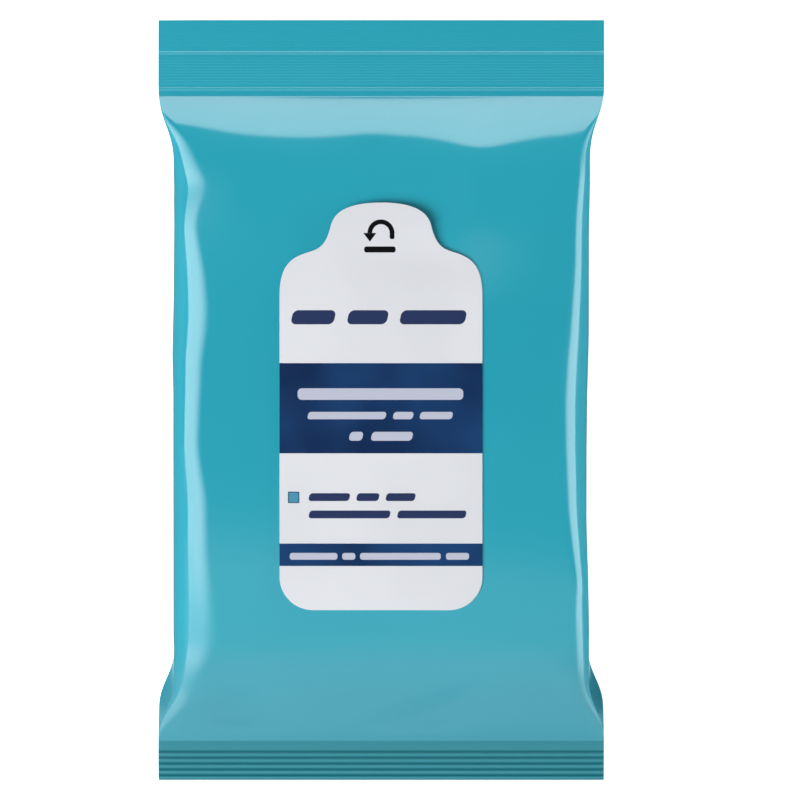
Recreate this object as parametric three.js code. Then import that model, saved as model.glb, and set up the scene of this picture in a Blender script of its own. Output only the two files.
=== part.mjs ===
// A travel pack of wet wipes, lying on its back with the label up.
//
// One film is folded into a tube round the stack of wipes, joined by a fin seal that lies flat on
// the back, and crimped shut at both ends, where the side walls tuck in. A peel-back label covers
// the place where the wipes come out. The sealed pouch and its wipes are one solid.
//
// Millimetres. X is the width, Y runs from the foot to the head, +Z is up, out of the label.
// The origin is the middle of the underside.

import * as THREE from 'three';

// ---- driving dimensions ---------------------------------------------------------------------

const PACK = {
  length: 145, // over both crimped ends
  sealWidth: 85, // across a crimped end
  bodyWidth: 79.2, // across the side walls
  thickness: 17,
};

// The two ends. rise and drop are the distances in from a crimp over which the front and the back
// become level, and droop is how far the crimp's cut edge hangs below its root.
const HEAD = { crimp: 14.5, rise: 22, drop: 13, droop: 0.9 }; // the long crimp, at +Y
const FOOT = { crimp: 7.5, rise: 36, drop: 14, droop: 0.4 }; // the short crimp, at -Y

// Distances in from a crimp at which the film starts to spread towards the crimp's width and at
// which it has it. At the foot the back spreads before the front does.
const FLARE = {
  head: { starts: 11.5, ends: 0 },
  footFront: { starts: 12, ends: 0 },
  footBack: { starts: 18, ends: 6 },
};

const FILM = {
  sealPlane: 7.2, // height of the crimps above the table
  crimpThickness: 0.5, // two layers pressed into ribs
  crown: 0.1, // share of the front's rise lost towards its sides
  frontShoulder: 0.66, // share of the front's rise that is the rounded shoulder
  backShoulder: 0.7,
  frontCurve: 7.5, // width of the rounded shoulder along X
  backCurve: 6,
  sealCurve: 0.6, // the same width where the film enters a crimp
  curveRun: 18, // distance over which the shoulder widens
  sideBulge: 0.6,
};

// The side wall folded in beside a crimp: deepest at one distance from it, and gone at another.
const TUCK = { depth: 2.6, deepest: 3, ends: 21 };

const FIN = {
  root: -1, // X of the fold where the long seal behind lies over
  width: 9,
  thickness: 0.25,
  crimped: 0.1, // the same thickness once pressed into a crimp
  step: 0.15,
  relief: 6, // distance over which the film beside it comes back down
};

const RIB = { pitch: 1.12, first: 0.95, count: 5, halfWidth: 0.3, depth: 0.2 }; // in the foot
const BEAD = { insets: [6.1, 13], halfWidth: 0.3, height: 0.15 }; // two raised lines in the head

const LABEL = {
  halfWidth: 19.15,
  top: 37.4, // Y of the tab's tip
  length: 77.2,
  corner: 6.3,
  thickness: 0.2,
  gap: 0.1,
  tabLift: 1.8,
  tabRoot: 11, // distance from the tip at which the tab leaves the film
};

const BODY_ROWS = 8;
const CURVE_STEPS = 6;
const WALL_STEPS = 4;
const LABEL_COLUMNS = 10;
const LABEL_STRAIGHT_ROWS = 7;
const QUARTER_CIRCLE = 0.5523; // cubic handle length for a quarter of a unit circle
const ROW_STEPS = [0, 0.8, 1.8, 3, 4.5, 6.5, 9, 12, 16, 21, 27]; // distances in from a crimp

// ---- lengthwise shape -------------------------------------------------------------------------

const HALF_LENGTH = PACK.length / 2;
const HEAD_LINE = HALF_LENGTH - HEAD.crimp; // where the head's crimp begins
const FOOT_LINE = FOOT.crimp - HALF_LENGTH;
const SKIN = FILM.crimpThickness / 2;

const clamp01 = (t) => Math.min(1, Math.max(0, t));
const ease = (t) => clamp01(t) ** 2 * (3 - 2 * clamp01(t));
const between = (value, low, high) => ease((value - low) / (high - low));
const mix = (a, b, t) => a + (b - a) * t;

// 0 at a crimp and 1 once the film is level: a parabola over the given run.
const level = (distance, run) => 1 - (1 - clamp01(distance / run)) ** 2;

// Height of the crimped sheet: level with the seal plane, and sagging towards the cut edge.
function sheetHeight(y) {
  const head = Math.max(0, y - HEAD_LINE) / HEAD.crimp;
  const foot = Math.max(0, FOOT_LINE - y) / FOOT.crimp;
  return FILM.sealPlane - HEAD.droop * head ** 2 - FOOT.droop * foot ** 2;
}

// Ribs and beads pressed into the two crimps, as a shift of both faces.
function pressed(y) {
  let shift = 0;
  for (let i = 0; i < RIB.count; i += 1) {
    const centre = RIB.first + i * RIB.pitch - HALF_LENGTH;
    shift -= RIB.depth * clamp01(1 - Math.abs(y - centre) / RIB.halfWidth);
  }
  for (const inset of BEAD.insets) {
    const centre = HALF_LENGTH - inset;
    shift += BEAD.height * clamp01(1 - Math.abs(y - centre) / BEAD.halfWidth);
  }
  return shift;
}

// The sizes of the cross-section at one station along the pack.
function sectionAt(y) {
  const fromHead = HEAD_LINE - y;
  const fromFoot = y - FOOT_LINE;
  const inside = Math.max(0, Math.min(fromHead, fromFoot));
  const sheet = sheetHeight(y) + pressed(y);

  const frontRise = PACK.thickness - FILM.sealPlane - SKIN;
  const backDrop = FILM.sealPlane - SKIN;
  const front = SKIN + frontRise * level(fromHead, HEAD.rise) * level(fromFoot, FOOT.rise);
  const back = SKIN + backDrop * level(fromHead, HEAD.drop) * level(fromFoot, FOOT.drop);

  const spread = (PACK.sealWidth - PACK.bodyWidth) / 2;
  const spreadAt = (from, { starts, ends }) => spread * (1 - between(from, ends, starts));

  const opening = between(inside, 0, TUCK.deepest) * (1 - between(inside, TUCK.deepest, TUCK.ends));
  const widening = between(inside, 0, FILM.curveRun);
  const bulge = FILM.sideBulge * widening;
  const half = PACK.bodyWidth / 2 - bulge + spreadAt(fromHead, FLARE.head);

  return {
    sheet,
    front,
    back,
    frontHalf: half + spreadAt(fromFoot, FLARE.footFront),
    backHalf: half + spreadAt(fromFoot, FLARE.footBack),
    frontCurve: mix(FILM.sealCurve, FILM.frontCurve, widening),
    backCurve: mix(FILM.sealCurve, FILM.backCurve, widening),
    tuck: TUCK.depth * opening,
    bulge,
    fin: mix(FIN.crimped, FIN.thickness, widening),
  };
}

// ---- cross-section ----------------------------------------------------------------------------

// How far an elliptical shoulder has fallen at |x|, for a shoulder that ends at half.
function fallen(x, half, curve) {
  const along = clamp01((Math.abs(x) - (half - curve)) / curve);
  return 1 - Math.sqrt(1 - along * along);
}

function frontHeight(x, y) {
  const s = sectionAt(y);
  const crown = FILM.crown * s.front * (x / s.frontHalf) ** 2;
  const shoulder = FILM.frontShoulder * s.front * fallen(x, s.frontHalf, s.frontCurve);
  return s.sheet + s.front - crown - shoulder;
}

// The back is level but for the fin: the film beside the fin stands off by its thickness.
function backHeight(x, y) {
  const s = sectionAt(y);
  const right = FIN.root + FIN.width;
  const outside = Math.max(FIN.root - x, x - right);
  const raised = clamp01(outside / FIN.step) * (1 - clamp01((outside - FIN.step) / FIN.relief));
  const shoulder = FILM.backShoulder * s.back * fallen(x, s.backHalf, s.backCurve);
  return s.sheet - s.back + shoulder + s.fin * raised;
}

// Columns across a face: knots that suit the fin in the middle, and a rounded shoulder each side.
function faceColumns(half, curve) {
  const flat = half - curve;
  const right = FIN.root + FIN.width;
  const reach = FIN.step + FIN.relief;
  const middle = [
    -flat,
    (FIN.root - reach - flat) / 2,
    FIN.root - reach,
    FIN.root - FIN.step,
    FIN.root,
    FIN.root + FIN.width / 2,
    right,
    right + FIN.step,
    right + reach,
    (right + reach + flat) / 2,
    flat,
  ];
  const shoulder = [];
  for (let i = 1; i <= CURVE_STEPS; i += 1) {
    shoulder.push(flat + curve * Math.sin((Math.PI / 2) * (i / CURVE_STEPS)));
  }
  return [...shoulder.map((x) => -x).reverse(), ...middle, ...shoulder];
}

// The inner points of a side wall, from the front's edge down to the back's edge.
function wallPoints(s, y, sign) {
  const top = frontHeight(s.frontHalf, y);
  const bottom = backHeight(s.backHalf, y);
  const points = [];
  for (let i = 1; i < WALL_STEPS; i += 1) {
    const t = i / WALL_STEPS;
    const fold = 1 - Math.abs(2 * t - 1);
    const x = mix(s.frontHalf, s.backHalf, t) - s.tuck * fold + s.bulge * Math.sin(Math.PI * t) ** 2;
    points.push([sign * x, mix(top, bottom, t)]);
  }
  return points;
}

// The closed section: over the front to the right, down the wall, back under, and up the left.
function pouchRing(y) {
  const s = sectionAt(y);
  const front = faceColumns(s.frontHalf, s.frontCurve).map((x) => [x, frontHeight(x, y)]);
  const back = faceColumns(s.backHalf, s.backCurve).map((x) => [x, backHeight(x, y)]);
  const section = [
    ...front,
    ...wallPoints(s, y, 1),
    ...back.reverse(),
    ...wallPoints(s, y, -1).reverse(),
  ];
  return section.map(([x, z]) => new THREE.Vector3(x, y, z));
}

// ---- meshing ----------------------------------------------------------------------------------

// Triangles over one end, facing +Y: a ladder between the front's and the back's columns, and a
// fan over the points of each side wall.
function endTriangles(columns, size) {
  const walls = size / 2 - columns;
  const triangles = [];
  const fan = (hub, first) => {
    for (let i = first; i < first + walls + 2; i += 1) triangles.push([hub, i, (i + 1) % size]);
  };
  fan(columns - 2, columns - 1);
  fan(1, size - walls - 2);
  for (let i = 1; i < columns - 2; i += 1) {
    const below = size - walls - 1 - i;
    triangles.push([i, i + 1, below], [i + 1, below - 1, below]);
  }
  return triangles;
}

// A closed solid through rings of equal length, from -Y to +Y. Each ring starts with its front
// columns, and has as many at the back.
function loft(rings, columns) {
  const size = rings[0].length;
  const index = [];
  for (let r = 0; r + 1 < rings.length; r += 1) {
    for (let i = 0; i < size; i += 1) {
      const a = r * size + i;
      const b = r * size + ((i + 1) % size);
      index.push(a, b, a + size, b, b + size, a + size);
    }
  }
  const last = (rings.length - 1) * size;
  for (const [a, b, c] of endTriangles(columns, size)) {
    index.push(a, c, b, last + a, last + b, last + c);
  }
  const geometry = new THREE.BufferGeometry();
  const positions = rings.flat().flatMap((p) => [p.x, p.y, p.z]);
  geometry.setAttribute('position', new THREE.Float32BufferAttribute(positions, 3));
  geometry.setIndex(index);
  geometry.computeVertexNormals();
  return geometry;
}

// ---- film pouch -------------------------------------------------------------------------------

function pouchStations() {
  const stations = [-HALF_LENGTH, HALF_LENGTH];
  for (let i = 0; i < RIB.count; i += 1) {
    const centre = RIB.first + i * RIB.pitch - HALF_LENGTH;
    stations.push(centre - RIB.halfWidth, centre, centre + RIB.halfWidth);
  }
  for (const inset of BEAD.insets) {
    const centre = HALF_LENGTH - inset;
    stations.push(centre - BEAD.halfWidth, centre, centre + BEAD.halfWidth);
  }
  for (const step of ROW_STEPS) stations.push(FOOT_LINE + step, HEAD_LINE - step);
  const last = ROW_STEPS.at(-1);
  for (let i = 1; i < BODY_ROWS; i += 1) {
    stations.push(mix(FOOT_LINE + last, HEAD_LINE - last, i / BODY_ROWS));
  }
  return stations.sort((a, b) => a - b);
}

function filmPouch() {
  const film = new THREE.MeshStandardMaterial({ color: '#31a1b5', roughness: 0.18, metalness: 0 });
  const rings = pouchStations().map(pouchRing);
  const mesh = new THREE.Mesh(loft(rings, rings[0].length / 2 - WALL_STEPS + 1), film);
  mesh.name = 'film_pouch';
  return mesh;
}

// ---- reseal label -----------------------------------------------------------------------------

// The right half of the label's outline from the tab's tip down, as x and distance from the tip.
function labelOutline() {
  const { halfWidth, length, corner } = LABEL;
  const handle = corner * (1 - QUARTER_CIRCLE);
  const tab = new THREE.CubicBezierCurve(
    new THREE.Vector2(0, 0),
    new THREE.Vector2(4.5, 0),
    new THREE.Vector2(8.6, 0.9),
    new THREE.Vector2(9.45, 4.4),
  );
  const neck = new THREE.CubicBezierCurve(
    new THREE.Vector2(9.45, 4.4),
    new THREE.Vector2(10, 6.6),
    new THREE.Vector2(10.7, 8.4),
    new THREE.Vector2(12.9, 9.1),
  );
  const shoulder = new THREE.CubicBezierCurve(
    new THREE.Vector2(12.9, 9.1),
    new THREE.Vector2(16.2, 10.15),
    new THREE.Vector2(halfWidth, 10.9),
    new THREE.Vector2(halfWidth, 17.6),
  );
  const side = new THREE.LineCurve(
    new THREE.Vector2(halfWidth, 17.6),
    new THREE.Vector2(halfWidth, length - corner),
  );
  const foot = new THREE.CubicBezierCurve(
    new THREE.Vector2(halfWidth, length - corner),
    new THREE.Vector2(halfWidth, length - handle),
    new THREE.Vector2(halfWidth - handle, length),
    new THREE.Vector2(halfWidth - corner, length),
  );
  return [
    ...tab.getPoints(6).slice(1), // the tip itself has no width
    ...neck.getPoints(5).slice(1),
    ...shoulder.getPoints(6).slice(1),
    ...side.getPoints(LABEL_STRAIGHT_ROWS).slice(1),
    ...foot.getPoints(5).slice(1),
  ];
}

// The label follows the front film, and its tab curls away from it towards the tip.
function labelRing({ x: half, y: fromTip }) {
  const y = LABEL.top - fromTip;
  const lift = LABEL.tabLift * ease(1 - fromTip / LABEL.tabRoot);
  const under = [];
  const over = [];
  for (let i = 0; i <= LABEL_COLUMNS; i += 1) {
    const x = half * ((2 * i) / LABEL_COLUMNS - 1);
    const z = frontHeight(x, y) + LABEL.gap + lift;
    under.push(new THREE.Vector3(x, y, z));
    over.push(new THREE.Vector3(x, y, z + LABEL.thickness));
  }
  return [...over, ...under.reverse()];
}

function resealLabel() {
  const card = new THREE.MeshStandardMaterial({ color: '#e2e3e8', roughness: 0.45, metalness: 0 });
  const rings = labelOutline().map(labelRing).reverse();
  const mesh = new THREE.Mesh(loft(rings, LABEL_COLUMNS + 1), card);
  mesh.name = 'reseal_label';
  return mesh;
}

// ---- the pack ---------------------------------------------------------------------------------

const pack = new THREE.Group();
pack.add(filmPouch(), resealLabel());

export default pack;
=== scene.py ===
"""A travel pack of wet wipes, lying on its back with the reseal label up.

One sheet of glossy teal film is folded into a tube round the stack of wipes. A fin seal closes it
along the back, a crimp closes each end, and the side walls tuck in beside the crimps. A white
reseal label with two navy bands covers the place where the wipes come out.

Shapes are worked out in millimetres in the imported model's frame: X across the pack, Y from the
foot to the head, Z up out of the label. They become metres when a mesh is made.
"""

import logging
import math
from dataclasses import dataclass
from enum import Enum

import bpy
import numpy as np
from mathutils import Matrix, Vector


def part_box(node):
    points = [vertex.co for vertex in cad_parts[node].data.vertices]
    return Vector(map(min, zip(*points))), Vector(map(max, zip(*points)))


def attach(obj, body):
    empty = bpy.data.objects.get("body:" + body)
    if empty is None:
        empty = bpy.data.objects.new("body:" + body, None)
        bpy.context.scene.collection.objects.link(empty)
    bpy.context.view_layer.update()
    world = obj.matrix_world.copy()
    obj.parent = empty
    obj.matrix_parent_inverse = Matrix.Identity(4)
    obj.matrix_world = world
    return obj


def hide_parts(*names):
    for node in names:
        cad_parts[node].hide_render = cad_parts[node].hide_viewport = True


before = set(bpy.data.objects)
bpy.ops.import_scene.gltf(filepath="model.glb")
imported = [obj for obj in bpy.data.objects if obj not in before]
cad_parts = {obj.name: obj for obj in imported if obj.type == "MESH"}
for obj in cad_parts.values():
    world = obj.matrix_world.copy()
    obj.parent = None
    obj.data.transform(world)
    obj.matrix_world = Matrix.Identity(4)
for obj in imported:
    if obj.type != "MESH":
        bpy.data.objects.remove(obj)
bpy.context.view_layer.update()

LOG = logging.getLogger("wipes_pack")
MM = 0.001  # metres in a millimetre

Array = np.ndarray
Node = bpy.types.Node
Socket = bpy.types.NodeSocket
Tree = bpy.types.NodeTree
Pair = tuple[float, float]
Colour = tuple[float, float, float]


# ---- curves of one number ----

STEEPEST = 1.875  # slope of between at its middle, over a run of 1
ROUND_HANDLE = 0.5523  # a cubic's handle for a quarter of a circle of radius 1


def clamp01(t: Array) -> Array:
    """t kept between 0 and 1."""
    return np.clip(t, 0.0, 1.0)


def between(value: Array, low: float, high: float) -> Array:
    """0 below low and 1 above high, with the smooth 6t^5 - 15t^4 + 10t^3 in between."""
    t = clamp01((value - low) / (high - low))
    return t**3 * (t * (6 * t - 15) + 10)


def mix(a: Array, b: Array, t: Array) -> Array:
    """a where t is 0 and b where t is 1, in a straight line."""
    return a + (b - a) * t


def level(distance: Array, run: Array) -> Array:
    """0 at a crimp and 1 once the film is level: a cubic over the given run."""
    return 1 - (1 - clamp01(distance / run)) ** 3


def cosine_bump(distance: Array, half_width: float) -> Array:
    """1 at no distance, and 0 from half_width on, along a raised cosine."""
    return (1 + np.cos(np.pi * clamp01(np.abs(distance) / half_width))) / 2


@dataclass(frozen=True)
class Course:
    """A number that changes along a line, as (place, value) knots in rising order of place."""

    knots: tuple[Pair, ...]
    ease: float

    def at(self, where: Array) -> Array:
        """The number at each place: straight from knot to knot, then smoothed.

        Args:
            where: Places along the line.

        Returns:
            The mean over a raised cosine that reaches ease each way.
        """
        offsets = np.linspace(-1, 1, 41)
        weights = 1 + np.cos(np.pi * offsets)
        places, values = zip(*self.knots)
        return np.interp(where[..., None] + self.ease * offsets, places, values) @ weights / weights.sum()


def bezier(handles: list[Pair], steps: int) -> Array:
    """Points on a cubic Bezier curve, without its first one.

    Args:
        handles: The four control points.
        steps: How many points to return.

    Returns:
        An array of steps by 2.
    """
    t = np.linspace(0, 1, steps + 1)[1:, None]
    a, b, c, d = (np.array(h) for h in handles)
    return a * (1 - t) ** 3 + 3 * b * t * (1 - t) ** 2 + 3 * c * t**2 * (1 - t) + d * t**3


# ---- meshes ----


@dataclass(frozen=True)
class BakeMap:
    """The map that a piece's finish is baked on, and where things lie on it, as shares of it."""

    name: str = "OFBake"
    ends: tuple[Pair, Pair] = ((0.002, 0.012), (0.988, 0.998))  # strips for a tube's end faces
    along: Pair = (0.02, 0.98)
    pouch: Pair = (0.01, 0.9)
    fin: Pair = (0.92, 0.99)
    label_middles: Pair = (0.25, 0.75)  # of its top and its underside
    label_width: float = 0.47

    @classmethod
    def rows(cls, points: Array) -> Array:
        """Heights on the map of a tube's rings: even along Y."""
        y = points[:, 0, 1]
        return mix(*cls.along, (y - y[0]) / (y[-1] - y[0]))


@dataclass
class Tube:
    """A closed tube of rings, each ring running clockwise as seen from -Y.

    points is rows by columns by 3, from -Y to +Y. across and along say where each face's corners
    lie on the bake map: across is rows by columns + 1, and along has one value a row.
    """

    points: Array
    across: Array
    along: Array
    split: int | None = None  # the column whose far side starts another island of the map
    across_beyond: Array | None = None  # across for that island

    def faces(self) -> Array:
        """Joins neighbouring rings with quads that face outwards.

        Returns:
            The quads' vertex numbers, one quad a row.
        """
        rows, size = self.points.shape[:2]
        a = np.arange(rows - 1)[:, None] * size + np.arange(size)
        b = np.arange(rows - 1)[:, None] * size + (np.arange(size) + 1) % size
        return np.stack([a, b, b + size, a + size], axis=-1).reshape(-1, 4)

    def face_map(self) -> Array:
        """Lays the quads on the bake map.

        Returns:
            A place on the map for each corner of faces().
        """
        rows, size = self.points.shape[:2]
        left, right = self.across[:, :-1], self.across[:, 1:]
        if self.split is not None:
            beyond = np.arange(size) >= self.split
            left = np.where(beyond, self.across_beyond[:, :-1], left)
            right = np.where(beyond, self.across_beyond[:, 1:], right)
        v = np.broadcast_to(self.along[:, None], (rows, size))
        u = np.stack([left[:-1], right[:-1], right[1:], left[1:]], axis=-1)
        v = np.stack([v[:-1], v[:-1], v[1:], v[1:]], axis=-1)
        return np.stack([u, v], axis=-1).reshape(-1, 2)

    def end_faces(self) -> list[list[int]]:
        """Closes the tube.

        Returns:
            One face over each end, as vertex numbers.
        """
        rows, size = self.points.shape[:2]
        last = (rows - 1) * size
        return [list(range(size - 1, -1, -1)), list(range(last, last + size))]

    def end_map(self) -> Array:
        """Lays the end faces on the bake map: X along their strips and Z across them.

        Returns:
            A place on the map for each corner of end_faces().
        """
        maps = []
        for ring, (low, high), flip in zip((0, -1), BakeMap.ends, (True, False)):
            x, z = self.points[ring, :, 0], self.points[ring, :, 2]
            u = mix(self.across.min(), self.across.max(), (x - x.min()) / np.ptp(x))
            v = mix(low, high, (z - z.min()) / np.ptp(z))
            strip = np.stack([u, v], -1)
            maps.append(strip[::-1] if flip else strip)
        return np.concatenate(maps)


def round_tube(points: Array, span: Pair) -> Tube:
    """A tube that is laid on its bake map with its girth across and Y along.

    Args:
        points: The tube's rings.
        span: Where the girth starts and ends on the map.

    Returns:
        The tube. Its middle ring's lengths are true on the map.
    """
    middle = points[len(points) // 2]
    steps = np.linalg.norm(np.diff(middle, axis=0, append=middle[:1]), axis=1)
    girth = np.concatenate([[0], np.cumsum(steps)])
    across = np.broadcast_to(mix(*span, girth / girth[-1]), (len(points), len(girth)))
    return Tube(points, across, BakeMap.rows(points))


def mesh_piece(name: str, tubes: list[Tube], sharp_over: float) -> bpy.types.Object:
    """One object made of closed tubes, in metres, with a bake map of its own.

    Args:
        name: The piece's name.
        tubes: Its closed tubes, in millimetres.
        sharp_over: Edges that turn by more than this many degrees are kept sharp.

    Returns:
        The new object, at the origin and in the scene.
    """
    points, faces, places, offset = [], [], [], 0
    for tube in tubes:
        points.append(tube.points.reshape(-1, 3) * MM)
        faces += (tube.faces() + offset).tolist()
        faces += [[offset + i for i in face] for face in tube.end_faces()]
        places += [tube.face_map(), tube.end_map()]
        offset += len(points[-1])
    mesh = bpy.data.meshes.new(name)
    mesh.from_pydata(np.concatenate(points).tolist(), [], faces)
    layer = mesh.uv_layers.new(name=BakeMap.name)
    layer.data.foreach_set("uv", np.concatenate(places).astype(np.float32).ravel())
    mesh.polygons.foreach_set("use_smooth", np.ones(len(mesh.polygons), bool))
    mesh.set_sharp_from_angle(angle=math.radians(sharp_over))
    mesh.update()
    piece = bpy.data.objects.new(name, mesh)
    bpy.context.scene.collection.objects.link(piece)
    LOG.info("%s: %d faces", name, len(mesh.polygons))
    return piece


# ---- shader building blocks ----


class Sketch:
    """Places and joins nodes in one shader tree. A value is a socket or a plain number."""

    def __init__(self, tree: Tree) -> None:
        """Starts an empty sketch in a tree, which is cleared."""
        self.tree = tree
        tree.nodes.clear()

    def node(self, kind: str, **settings: object) -> Node:
        """Adds a node, ten to a row of the tree.

        Args:
            kind: The node's type.
            **settings: Properties to set on it.

        Returns:
            The new node.
        """
        made = self.tree.nodes.new(kind)
        placed = len(self.tree.nodes)
        made.location = (200 * (placed % 10), -260 * (placed // 10))
        for name, value in settings.items():
            setattr(made, name, value)
        return made

    def feed(self, socket: Socket, value: object) -> None:
        """Gives a socket its value.

        Args:
            socket: The input to feed.
            value: A socket to link to it, or a plain number or colour to set on it.
        """
        if isinstance(value, Socket):
            self.tree.links.new(value, socket)
        else:
            socket.default_value = value

    def math(self, operation: str, *values: object, clamp: bool = False) -> Socket:
        """Adds one Math node.

        Args:
            operation: What it works out.
            *values: What it works on.
            clamp: Whether the result is kept between 0 and 1.

        Returns:
            Its result.
        """
        made = self.node("ShaderNodeMath", operation=operation, use_clamp=clamp)
        for socket, value in zip(made.inputs, values):
            self.feed(socket, value)
        return made.outputs[0]

    def map_range(self, value: object, shape: str, **ends: float) -> Socket:
        """Adds one Map Range node.

        Args:
            value: What it maps.
            shape: Its interpolation.
            **ends: From_Min, From_Max, To_Min or To_Max, where they aren't 0 and 1.

        Returns:
            Its result.
        """
        made = self.node("ShaderNodeMapRange", interpolation_type=shape)
        self.feed(made.inputs["Value"], value)
        for name, end in ends.items():
            made.inputs[name.replace("_", " ")].default_value = end
        return made.outputs["Result"]

    def fade(self, value: object, low: float, high: float) -> Socket:
        """0 at low and 1 at high, smooth between; low may be the larger of the two."""
        return self.map_range(value, "SMOOTHSTEP", From_Min=low, From_Max=high)

    def spread(self, value: object, low: float, high: float) -> Socket:
        """A value of 0 to 1 spread over low to high in a straight line."""
        return self.map_range(value, "LINEAR", To_Min=low, To_Max=high)

    def blend(self, factor: object, first: object, second: object) -> Socket:
        """Adds one Mix node for colours.

        Args:
            factor: 0 for the first colour and 1 for the second.
            first: A colour or a socket.
            second: A colour or a socket.

        Returns:
            The colour between them.
        """
        made = self.node("ShaderNodeMix", data_type="RGBA")
        sockets = {socket.identifier: socket for socket in made.inputs}
        self.feed(sockets["Factor_Float"], factor)
        for name, value in (("A_Color", first), ("B_Color", second)):
            plain = not isinstance(value, Socket)
            self.feed(sockets[name], (*value, 1.0) if plain else value)
        return made.outputs[2]

    def noise(self, vector: Socket, scale: object, detail: float) -> Socket:
        """Adds one Noise Texture node.

        Args:
            vector: Places, in metres.
            scale: Bumps to a metre.
            detail: How many finer layers it has.

        Returns:
            A soft noise of about 0 to 1.
        """
        made = self.node("ShaderNodeTexNoise")
        for name, value in (("Vector", vector), ("Scale", scale), ("Detail", detail)):
            self.feed(made.inputs[name], value)
        return made.outputs["Fac"]

    def bump(self, height: Socket, depth: float, strength: float) -> Socket:
        """Adds one Bump node.

        Args:
            height: Height, of 0 to 1.
            depth: What a height of 1 stands for, in metres.
            strength: How much of it shows.

        Returns:
            The tilted normal.
        """
        made = self.node("ShaderNodeBump")
        made.inputs["Distance"].default_value = depth
        made.inputs["Strength"].default_value = strength
        self.feed(made.inputs["Height"], height)
        return made.outputs[0]

    def split(self, vector: Socket) -> dict[str, Socket]:
        """Adds one Separate XYZ node.

        Args:
            vector: What it takes apart.

        Returns:
            Its X, Y and Z, by name.
        """
        made = self.node("ShaderNodeSeparateXYZ")
        self.feed(made.inputs[0], vector)
        return {socket.name: socket for socket in made.outputs}

    def largest(self, masks: list[Socket]) -> Socket:
        """Joins several masks.

        Args:
            masks: One or more of them.

        Returns:
            The largest at each point.
        """
        total = masks[0]
        for mask in masks[1:]:
            total = self.math("MAXIMUM", total, mask)
        return total


def new_group(name: str, inputs: dict[str, str], outputs: list[str]) -> tuple[Tree, Sketch, object, Node]:
    """An empty shader node group.

    Args:
        name: The group's name.
        inputs: Socket names and their kinds, such as "Float" or "Vector".
        outputs: Names of the outputs, which are all Float.

    Returns:
        The group, a Sketch of it, its inputs by name and its output node.
    """
    group = bpy.data.node_groups.new(name, "ShaderNodeTree")
    sketch = Sketch(group)
    for socket, kind in inputs.items():
        group.interface.new_socket(socket, in_out="INPUT", socket_type=f"NodeSocket{kind}")
    for socket in outputs:
        group.interface.new_socket(socket, in_out="OUTPUT", socket_type="NodeSocketFloat")
    entry = sketch.node("NodeGroupInput")
    leave = sketch.node("NodeGroupOutput")
    return group, sketch, entry.outputs, leave


def surface_variation() -> Tree:
    """Builds the group that keeps both finishes from being flat.

    Returns:
        The group, which puts out slow clouds, scuffs and a fine grain, each of about 0 to 1.
    """
    cloud_edges, scuff_edges, scuffs_to_a_cloud = (0.32, 0.68), (0.5, 0.72), 5.0
    inputs = {"Position": "Vector", "Cloud Scale": "Float", "Grain Scale": "Float"}
    group, sketch, given, leave = new_group("surface_variation", inputs, ["Cloud", "Scuff", "Grain"])
    cloud = sketch.noise(given["Position"], given["Cloud Scale"], detail=2.0)
    smear_scale = sketch.math("MULTIPLY", given["Cloud Scale"], scuffs_to_a_cloud)
    smear = sketch.noise(given["Position"], smear_scale, detail=4.0)
    grain = sketch.noise(given["Position"], given["Grain Scale"], detail=1.0)
    sketch.feed(leave.inputs["Cloud"], sketch.fade(cloud, *cloud_edges))
    sketch.feed(leave.inputs["Scuff"], sketch.fade(smear, *scuff_edges))
    sketch.feed(leave.inputs["Grain"], grain)
    return group


def rounded_bar() -> Tree:
    """Builds the group that masks one printed bar with round corners, slanted if it is asked to be.

    The distance from a point to the bar is that to a smaller box, less the corner's radius.

    Returns:
        The group, whose mask is 1 in the bar and 0 outside it.
    """
    names = ["Across", "Down", "Middle X", "Middle Y", "Half Width", "Half Height", "Corner"]
    inputs = dict.fromkeys([*names, "Slant", "Softness"], "Float")
    group, sketch, given, leave = new_group("rounded_bar", inputs, ["Mask"])
    down = sketch.math("SUBTRACT", given["Down"], given["Middle Y"])
    lean = sketch.math("MULTIPLY", down, given["Slant"])
    across = sketch.math("ADD", sketch.math("SUBTRACT", given["Across"], given["Middle X"]), lean)
    over = []
    for place, half in ((across, given["Half Width"]), (down, given["Half Height"])):
        inner = sketch.math("SUBTRACT", half, given["Corner"])
        over.append(sketch.math("SUBTRACT", sketch.math("ABSOLUTE", place), inner))
    squares = [sketch.math("POWER", sketch.math("MAXIMUM", side, 0.0), 2.0) for side in over]
    outside = sketch.math("SQRT", sketch.math("ADD", *squares))
    inside = sketch.math("MINIMUM", sketch.math("MAXIMUM", *over), 0.0)
    distance = sketch.math("SUBTRACT", sketch.math("ADD", outside, inside), given["Corner"])
    share = sketch.math("DIVIDE", distance, given["Softness"])
    sketch.feed(leave.inputs["Mask"], sketch.math("SUBTRACT", 0.5, share, clamp=True))
    return group


class Variation:
    """The shared variation group placed in a material, and the point's place in millimetres."""

    def __init__(self, sketch: Sketch, group: Tree, clouds: float, grains: float) -> None:
        """Adds the group node.

        Args:
            sketch: The material's sketch.
            group: The group made by surface_variation.
            clouds: Clouds to a metre.
            grains: Grains to a metre.
        """
        position = sketch.node("ShaderNodeTexCoord").outputs["Object"]
        made = sketch.node("ShaderNodeGroup", node_tree=group)
        for name, value in (("Position", position), ("Cloud Scale", clouds), ("Grain Scale", grains)):
            sketch.feed(made.inputs[name], value)
        self.cloud = made.outputs["Cloud"]
        self.scuff = made.outputs["Scuff"]
        self.grain = made.outputs["Grain"]
        place = sketch.split(position)
        self.x = sketch.math("DIVIDE", place["X"], MM)
        self.y = sketch.math("DIVIDE", place["Y"], MM)


# ---- the pouch's form ----


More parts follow.
